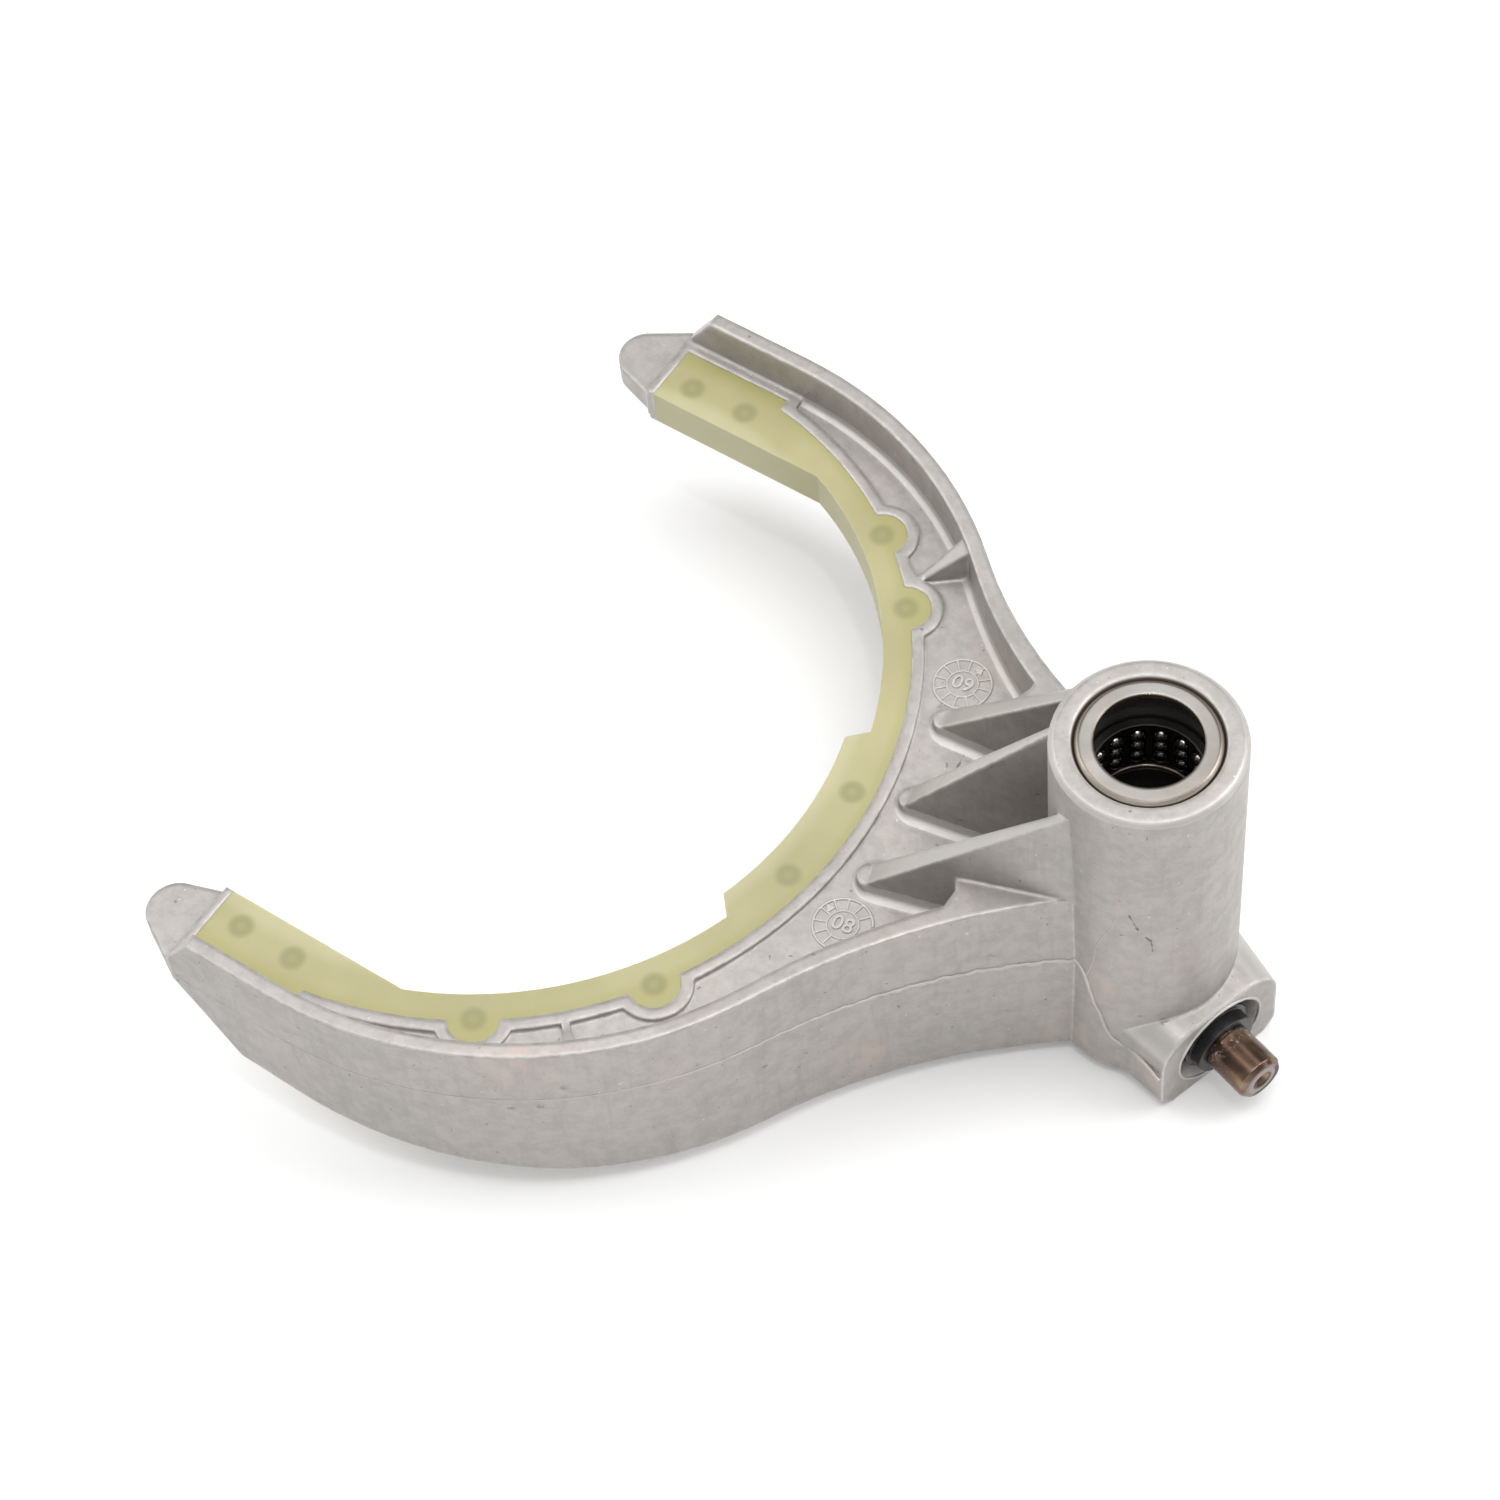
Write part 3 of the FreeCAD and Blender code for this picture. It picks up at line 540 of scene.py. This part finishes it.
def shell_material():
    """Smooth drawn steel, browned towards its rim, with a painted highlight on the rim and painted shade in
    the gap outside it.
    """
    made, tree, shader, place = new_material("drawn_shell_steel")
    fine, clouds = grain(tree, place, 1300.0, 70.0)
    rings = noise(tree, stretched(tree, place, (30, 30, 900)), 3, 3)
    steel_dark = (0.245, 0.226, 0.205)
    steel_light = (0.30, 0.286, 0.270)
    steel_speck = (0.30, 0.27, 0.24)
    oil_brown = (0.20, 0.15, 0.115)
    shell_rim_highlight = (0.50, 0.46, 0.41)
    shell_gap_shade = (0.13, 0.10, 0.078)
    bore_brown = (0.24, 0.17, 0.12)
    colour = tint(tree, spread(tree, clouds, 0.35, 0.65), steel_dark, steel_light)
    colour = tint(tree, spread(tree, fine, 0.55, 0.75, 0, 0.3), colour, steel_speck)
    radius = radius_of(tree, place)
    colour = tint(tree, spread(tree, radius, 10.85 * MM, 11.20 * MM, 0, 0.75), colour, oil_brown)
    # Painted highlight on the rounded rim, then painted shade in the gap outside it.
    colour = tint(tree, spread(tree, radius, 11.20 * MM, 11.35 * MM), colour, shell_rim_highlight)
    colour = tint(tree, spread(tree, radius, 11.65 * MM, 11.95 * MM), colour, shell_gap_shade)
    colour = tint(tree, spread(tree, radius, 9.05 * MM, 8.88 * MM, 0, 0.6), colour, bore_brown)
    join(tree, colour, shader.inputs["Base Color"])
    join(tree, spread(tree, rings, 0.3, 0.7, 0.26, 0.36), shader.inputs["Roughness"])
    shader.inputs["Metallic"].default_value = 0.9
    bump_into(tree, shader, math_of(tree, "ADD", rings, fine), 0.05 * MM, 0.12, 0.7 * MM)
    return made


def black_material(name, dark, light, rough, edge_wear_and_highlight_colour):
    """Blackened plastic or steel, a little lighter on its edges."""
    made, tree, shader, place = new_material(name)
    fine, clouds = grain(tree, place, 1200.0, 260.0)
    colour = tint(tree, spread(tree, clouds, 0.3, 0.7), dark, light)
    colour = tint(tree, wear_and_highlight(tree, place, 0.3 * MM, 500.0), colour, edge_wear_and_highlight_colour)
    join(tree, colour, shader.inputs["Base Color"])
    join(tree, spread(tree, clouds, 0.3, 0.7, rough - 0.06, rough + 0.06), shader.inputs["Roughness"])
    bump_into(tree, shader, fine, 0.08 * MM, 0.2, 0.4 * MM)
    return made


def ball_material():
    """Polished steel, its colour darkened as painted shade of the dark bore it reflects, with a faint cloud
    in it.
    """
    made, tree, shader, place = new_material("polished_ball_steel")
    fine, clouds = grain(tree, place, 1500.0, 400.0)
    ball_shaded_dark = (0.22, 0.21, 0.205)
    ball_shaded_light = (0.29, 0.28, 0.27)
    colour = tint(tree, spread(tree, clouds, 0.3, 0.7), ball_shaded_dark, ball_shaded_light)
    join(tree, colour, shader.inputs["Base Color"])
    join(tree, spread(tree, fine, 0.3, 0.7, 0.06, 0.10), shader.inputs["Roughness"])
    shader.inputs["Metallic"].default_value = 1.0
    return made


def dress(obj, material):
    obj.data.materials.clear()
    obj.data.materials.append(material)


def deselect():
    """Clears the selection, because an operator acts on all that is selected."""
    bpy.ops.object.select_all(action="DESELECT")


def finished(obj, name):
    """Puts a piece's place into its mesh and names it."""
    deselect()
    obj.select_set(True)
    bpy.context.view_layer.objects.active = obj
    bpy.ops.object.transform_apply(location=True, rotation=True, scale=True)
    obj.name = name
    obj.data.name = name
    return obj


def joined(parts):
    """Joins pieces into the first of them."""
    deselect()
    for part in parts:
        part.select_set(True)
    bpy.context.view_layer.objects.active = parts[0]
    bpy.ops.object.join()
    return parts[0]


def twin(obj, spot, turn=0.0):
    """A copy with its own mesh, at another place."""
    made = obj.copy()
    made.data = obj.data.copy()
    made.location = spot
    made.rotation_euler[2] = turn
    bpy.context.scene.collection.objects.link(made)
    return made


def smooth_balls(which, material):
    """All the balls of one bushing, as one object."""
    bottom = cage_bottoms[which]
    deselect()
    bpy.ops.mesh.primitive_uv_sphere_add(segments=20, ring_count=14, radius=ball_diameter / 2 * MM)
    pattern = bpy.context.active_object
    bpy.ops.object.shade_smooth()
    balls = []
    for column in range(ball_columns):
        turn = math.radians(360 * (column + 0.5) / ball_columns)
        x = ball_circle * math.cos(turn)
        y = ball_circle * math.sin(turn)
        for row in range(ball_rows):
            balls.append(twin(pattern, Vector((x, y, bottom + row_pitch * (row + 1))) * MM))
    bpy.data.objects.remove(pattern)
    made = finished(joined(balls), which + "_polished_balls")
    dress(made, material)
    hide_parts(which + "_bearing_balls")
    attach(made, which + "_cage")


def raised_ring(centre, radius, thick, missing):
    """A ring half sunk in the web; missing is the range of degrees that is worn away."""
    deselect()
    bpy.ops.mesh.primitive_torus_add(
        location=Vector(centre) * MM, major_radius=radius * MM, minor_radius=thick * MM,
        major_segments=72, minor_segments=8,
    )
    ring = bpy.context.active_object
    bpy.ops.object.shade_smooth()
    if missing:
        bpy.ops.object.mode_set(mode="EDIT")
        bpy.ops.mesh.select_all(action="DESELECT")
        bpy.ops.object.mode_set(mode="OBJECT")
        for vertex in ring.data.vertices:
            degrees = math.degrees(math.atan2(vertex.co.y, vertex.co.x))
            vertex.select = missing[0] < degrees < missing[1]
        bpy.ops.object.mode_set(mode="EDIT")
        bpy.ops.mesh.delete(type="VERT")
        bpy.ops.mesh.select_all(action="SELECT")
        bpy.ops.mesh.region_to_loop()
        bpy.ops.mesh.edge_face_add()
        bpy.ops.object.mode_set(mode="OBJECT")
    return ring


def date_dial(name, x, y, first_tick, digits, missing, marked, material):
    """A raised date dial: two rings, twelve ticks, an arrow's head and two plain digits.

    Angles are in degrees: the first tick's, the range that is worn away, and the arrow's.
    """
    centre = (x, y, web_top)
    parts = [
        raised_ring(centre, dial_ring_radius, dial_ring_thickness, missing),
        raised_ring(centre, dial_hub_radius, dial_hub_thickness, None),
    ]
    deselect()
    bpy.ops.mesh.primitive_cube_add(size=1.0)
    tick = bpy.context.active_object
    tick.scale = Vector(tick_size) * MM
    bpy.ops.object.transform_apply(location=False, rotation=False, scale=True)
    bpy.ops.object.mode_set(mode="EDIT")
    bpy.ops.mesh.select_all(action="DESELECT")
    bpy.ops.object.mode_set(mode="OBJECT")
    for vertex in tick.data.vertices:
        vertex.select = vertex.co.z > 0
    bpy.ops.object.mode_set(mode="EDIT")
    bpy.ops.transform.resize(value=(0.96, 0.45, 1.0))
    bpy.ops.object.mode_set(mode="OBJECT")
    for index in range(dial_ticks):
        degrees = first_tick + 360 / dial_ticks * index
        if missing and missing[0] < (degrees + 180) % 360 - 180 < missing[1]:
            continue
        turn = math.radians(degrees)
        spot = Vector((x + tick_circle * math.cos(turn), y + tick_circle * math.sin(turn), web_top)) * MM
        parts.append(twin(tick, spot, turn))
    bpy.data.objects.remove(tick)

    deselect()
    turn = math.radians(marked)
    spot = (x + tick_circle * math.cos(turn), y + tick_circle * math.sin(turn), web_top + arrow_lift)
    bpy.ops.mesh.primitive_cylinder_add(
        vertices=3, radius=arrow_radius * MM, depth=arrow_height * MM, location=Vector(spot) * MM,
    )
    arrow = bpy.context.active_object
    arrow.rotation_euler[2] = turn - math.radians(90)
    parts.append(arrow)

    deselect()
    bpy.ops.object.text_add(location=Vector(centre) * MM, rotation=(0.0, 0.0, math.radians(digit_turn)))
    text = bpy.context.active_object
    text.data.body = digits
    text.data.size = digit_size * MM
    text.data.align_x = "CENTER"
    text.data.align_y = "CENTER"
    text.data.extrude = digit_height * MM
    text.data.bevel_depth = digit_edge * MM
    text.data.resolution_u = 6
    bpy.ops.object.convert(target="MESH")
    parts.append(bpy.context.active_object)

    made = finished(joined(parts), name)
    dress(made, material)
    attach(made, "fork")


def bead(name, points, thicknesses, material):
    """A raised seam along points: an edge chain, given a round section and made a mesh."""
    spots = [Vector(point) * MM for point in points]
    deselect()
    bpy.ops.mesh.primitive_plane_add(size=MM, location=spots[0])
    bpy.ops.object.mode_set(mode="EDIT")
    bpy.ops.mesh.select_all(action="SELECT")
    bpy.ops.mesh.merge(type="CENTER")
    for first, second in zip(spots, spots[1:]):
        bpy.ops.mesh.extrude_vertices_move(TRANSFORM_OT_translate={"value": second - first})
    bpy.ops.object.mode_set(mode="OBJECT")
    bpy.ops.object.convert(target="CURVE")
    seam = bpy.context.active_object
    curve = seam.data
    stations = list(curve.splines[0].points)
    begun = (stations[0].co.xyz + seam.location - spots[0]).length
    ended = (stations[-1].co.xyz + seam.location - spots[0]).length
    if begun > ended:
        stations.reverse()
    for station, thick in zip(stations, thicknesses):
        station.radius = thick
    curve.bevel_depth = MM
    curve.bevel_resolution = 1
    curve.use_fill_caps = True
    bpy.ops.object.convert(target="MESH")
    bpy.ops.object.shade_smooth()
    made = finished(bpy.context.active_object, name)
    dress(made, material)
    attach(made, "fork")


def wall_line(bend, count):
    """Plan points along an arm's outer wall, from its end to the hub."""
    turn = math.radians(bend["turn"])
    reach = bend["radius"] + bend["waist"]
    bend_x = bend["x"]
    bend_y = bend["straight"] - bend["radius"]
    waist_x = bend_x + reach * math.cos(turn)
    waist_y = bend_y + reach * math.sin(turn)
    plan = [(wall_end, bend["straight"])]
    for index in range(count + 1):
        angle = math.radians(90 + index / count * (bend["turn"] - 90))
        plan.append((bend_x + bend["radius"] * math.cos(angle), bend_y + bend["radius"] * math.sin(angle)))
    for index in range(1, count + 1):
        angle = math.radians(bend["turn"] + 180 + index / count * (bend["end"] - bend["turn"] - 180))
        plan.append((waist_x + bend["waist"] * math.cos(angle), waist_y + bend["waist"] * math.sin(angle)))
    points = [(sleeve_x + x, sleeve_y + bend["side"] * y) for x, y in plan]
    return [point for point in points if math.hypot(*point) > hub_radius - seam_into_hub]


def flash_seam(name, bend, after, material):
    """The parting seam along an arm, thin past the bend and ragged towards the hub.

    Waves of unequal length make it thicker, thinner, higher and lower without a repeat.
    """
    points = []
    thicknesses = []
    for index, (x, y) in enumerate(wall_line(bend, seam_stations)):
        near_hub = min(max((x - ragged_from) / ragged_over, 0.0), 1.0)
        ragged = 0.5 + 0.5 * math.sin(2.3 * index) * math.sin(0.9 * index + 1.0)
        wander = near_hub * seam_wander * math.sin(1.7 * index) * math.sin(0.6 * index)
        points.append((x, y, parting_height + wander))
        thicknesses.append(thin_seam + near_hub * (ragged_least + ragged_more * ragged))
    points += after
    thicknesses += [hub_seam_thickness] * len(after)
    bead(name, points, thicknesses, material)


# The near seam runs on down the hub and along the boss's side, and a fainter one goes up the hub.
hub_seam = [
    (-2.6, -15.8, -2.4), (-1.9, -15.85, -4.2), (-1.0, -15.95, -7.5), (0.0, -16.0, -11.6),
    (1.1, -15.95, -14.0), (2.2, -15.85, -18.2), (3.3, -15.65, -20.8), (5.0, -15.2, -22.4),
    (6.2, -15.2, -22.0), (7.3, -15.6, -21.6), (9.3, -16.25, -21.7), (11.8, -17.05, -21.9),
    (13.9, -17.7, -22.8),
]
upper_seam = [
    (-1.4, -15.95, -3.2), (-0.3, -16.0, 1.5), (0.5, -16.0, 8.0), (2.5, -15.8, 14.1),
    (4.1, -15.45, 19.6), (4.3, -15.4, 24.2),
]
upper_seam_thicknesses = [0.18, 0.15, 0.12, 0.10, 0.08, 0.04]


def boss_lip(material):
    """The raised, uneven rim round the recess in the boss."""
    heading = math.radians(pin_heading)
    along = Vector((math.cos(heading), math.sin(heading), 0))
    across = Vector((-math.sin(heading), math.cos(heading), 0))
    spot = (along * (boss_reach - lip_sink) + across * pin_offset + Vector((0, 0, pin_height))) * MM
    deselect()
    bpy.ops.mesh.primitive_torus_add(
        location=spot, rotation=(0.0, math.radians(90), heading),
        major_radius=(recess_radius + lip_clearance) * MM, minor_radius=lip_thickness * MM,
        major_segments=90, minor_segments=10,
    )
    bpy.ops.object.mode_set(mode="EDIT")
    bpy.ops.mesh.select_all(action="SELECT")
    bpy.ops.transform.vertex_random(offset=lip_unevenness * MM, uniform=0.7, normal=0.3, seed=4)
    bpy.ops.mesh.vertices_smooth(factor=0.5, repeat=2)
    bpy.ops.object.mode_set(mode="OBJECT")
    bpy.ops.object.shade_smooth()
    made = finished(bpy.context.active_object, "boss_recess_lip")
    dress(made, material)
    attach(made, "fork")


casting = cast_material("cast_aluminium", edge_radius=1.3 * MM, edge_band_width=1.1 * MM, brightened=0.0)
cast_detail = cast_material("cast_detail", edge_radius=0.12 * MM, edge_band_width=0.15 * MM, brightened=0.5)
ball_steel = ball_material()
dress(nodes["fork_casting"], casting)
dress(nodes["fork_liner"], liner_material())
dress(nodes["follower_pin"], pin_material())
collar_black = black_material(
    "black_collar", dark=(0.004, 0.004, 0.004), light=(0.012, 0.012, 0.012),
    rough=0.30, edge_wear_and_highlight_colour=(0.05, 0.05, 0.05),
)
dress(nodes["pin_collar"], collar_black)
dress(nodes["bearing_shells"], shell_material())
# The cage's lighter edges are a painted highlight where its edge catches the light.
cage_black = black_material(
    "black_cage", dark=(0.003, 0.0025, 0.002), light=(0.008, 0.007, 0.006),
    rough=0.35, edge_wear_and_highlight_colour=(0.05, 0.035, 0.025),
)
for which in ("upper", "lower"):
    dress(nodes[which + "_ball_cage"], cage_black)
    dress(nodes[which + "_bearing_balls"], ball_steel)
    smooth_balls(which, ball_steel)

date_dial(
    "date_dial_far", x=-47.8, y=18.4, first_tick=13.0, digits="09", missing=None, marked=73.0,
    material=cast_detail,
)
date_dial(
    "date_dial_near", x=-38.7, y=-32.7, first_tick=20.0, digits="08", missing=(-88.0, 22.0), marked=157.0,
    material=cast_detail,
)
flash_seam("near_parting_seam", near_bend, hub_seam, cast_detail)
flash_seam("far_parting_seam", far_bend, [], cast_detail)
bead("hub_upper_seam", upper_seam, upper_seam_thicknesses, cast_detail)
boss_lip(cast_detail)


# The studio, in metres and watts: each lamp's name, place, size and power.
floor_size = 6
floor_gap = 0.0002
floor_lift = 0.10
world_strength = 0.35
lamp_aim = Vector((-0.06, -0.02, 0))
lamps = (
    ("top_box", (-0.05, 0.05, 1.1), (1.2, 1.2), 10.8),
    ("left_box", (-0.9, -0.2, 0.7), (0.7, 1.0), 3.6),
    ("right_box", (0.7, 0.65, 0.8), (0.6, 0.8), 6.4),
    ("front_box", (0.30, -1.0, 0.35), (1.0, 0.5), 1.0),
    ("bore_lamp", (0.13, -0.15, 0.9), (0.04, 0.04), 0.55),
)


def floor_material():
    """White floor: seen by the camera and in gloss it is lifted to white, and keeps its shadow."""
    made = bpy.data.materials.new("studio_floor")
    made.use_nodes = True
    tree = made.node_tree
    shader = tree.nodes["Principled BSDF"]
    shader.inputs["Base Color"].default_value = (0.90, 0.90, 0.90, 1)
    shader.inputs["Roughness"].default_value = 0.9
    shader.inputs["Specular IOR Level"].default_value = 0.0
    lift = node_of(tree, "ShaderNodeEmission")
    lift.inputs["Color"].default_value = (1, 1, 1, 1)
    lift.inputs["Strength"].default_value = floor_lift
    both = node_of(tree, "ShaderNodeAddShader")
    join(tree, shader.outputs["BSDF"], both.inputs[0])
    join(tree, lift.outputs["Emission"], both.inputs[1])
    rays = node_of(tree, "ShaderNodeLightPath").outputs
    seen = math_of(tree, "MAXIMUM", rays["Is Camera Ray"], rays["Is Glossy Ray"])
    seen = math_of(tree, "MAXIMUM", seen, rays["Is Transmission Ray"])
    mixed = node_of(tree, "ShaderNodeMixShader")
    join(tree, seen, mixed.inputs["Fac"])
    join(tree, shader.outputs["BSDF"], mixed.inputs[1])
    join(tree, both.outputs["Shader"], mixed.inputs[2])
    join(tree, mixed.outputs["Shader"], tree.nodes["Material Output"].inputs["Surface"])
    return made


def studio():
    """Pale floor, an even surround and soft lamps."""
    deselect()
    floor_height = cad_box[0][2] - floor_gap
    bpy.ops.mesh.primitive_plane_add(size=floor_size, location=(0, 0, floor_height))
    floor = bpy.context.active_object
    floor.name = "studio_floor"
    floor.data.materials.append(floor_material())

    world = bpy.data.worlds.new("studio")
    bpy.context.scene.world = world
    world.use_nodes = True
    back = world.node_tree.nodes["Background"]
    back.inputs["Color"].default_value = (1, 1, 1, 1)
    back.inputs["Strength"].default_value = world_strength

    for name, spot, size, power in lamps:
        data = bpy.data.lights.new(name, "AREA")
        data.shape = "RECTANGLE"
        data.size, data.size_y = size
        data.energy = power
        lamp = bpy.data.objects.new(name, data)
        bpy.context.scene.collection.objects.link(lamp)
        lamp.location = spot
        way = lamp_aim - Vector(spot)
        lamp.rotation_euler = way.to_track_quat("-Z", "Y").to_euler()


studio()


def set_camera():
    """The camera at the photograph's place, framed without any shift of the lens."""
    turn = math.radians(camera_turn)
    tilt = math.radians(camera_height_angle)
    roll = math.radians(camera_roll)
    back = Vector((math.sin(turn) * math.cos(tilt), -math.cos(turn) * math.cos(tilt), math.sin(tilt)))
    flat_right = Vector((math.cos(turn), math.sin(turn), 0))
    flat_up = back.cross(flat_right)
    right = flat_right * math.cos(roll) + flat_up * math.sin(roll)
    up = flat_up * math.cos(roll) - flat_right * math.sin(roll)
    focus = camera_lens / camera_sensor * picture_size
    side = -(target_across - picture_size / 2) / focus * camera_distance
    rise = (target_down - picture_size / 2) / focus * camera_distance
    spot = back * camera_distance + right * side + up * rise + camera_target
    data = bpy.data.cameras.new("photo_camera")
    data.lens = camera_lens
    data.sensor_width = camera_sensor
    camera = bpy.data.objects.new("photo_camera", data)
    bpy.context.scene.collection.objects.link(camera)
    camera.matrix_world = Matrix((
        (right.x, up.x, back.x, spot.x),
        (right.y, up.y, back.y, spot.y),
        (right.z, up.z, back.z, spot.z),
        (0, 0, 0, 1),
    ))
    bpy.context.scene.camera = camera


set_camera()
bpy.context.scene.view_settings.view_transform = "Standard"
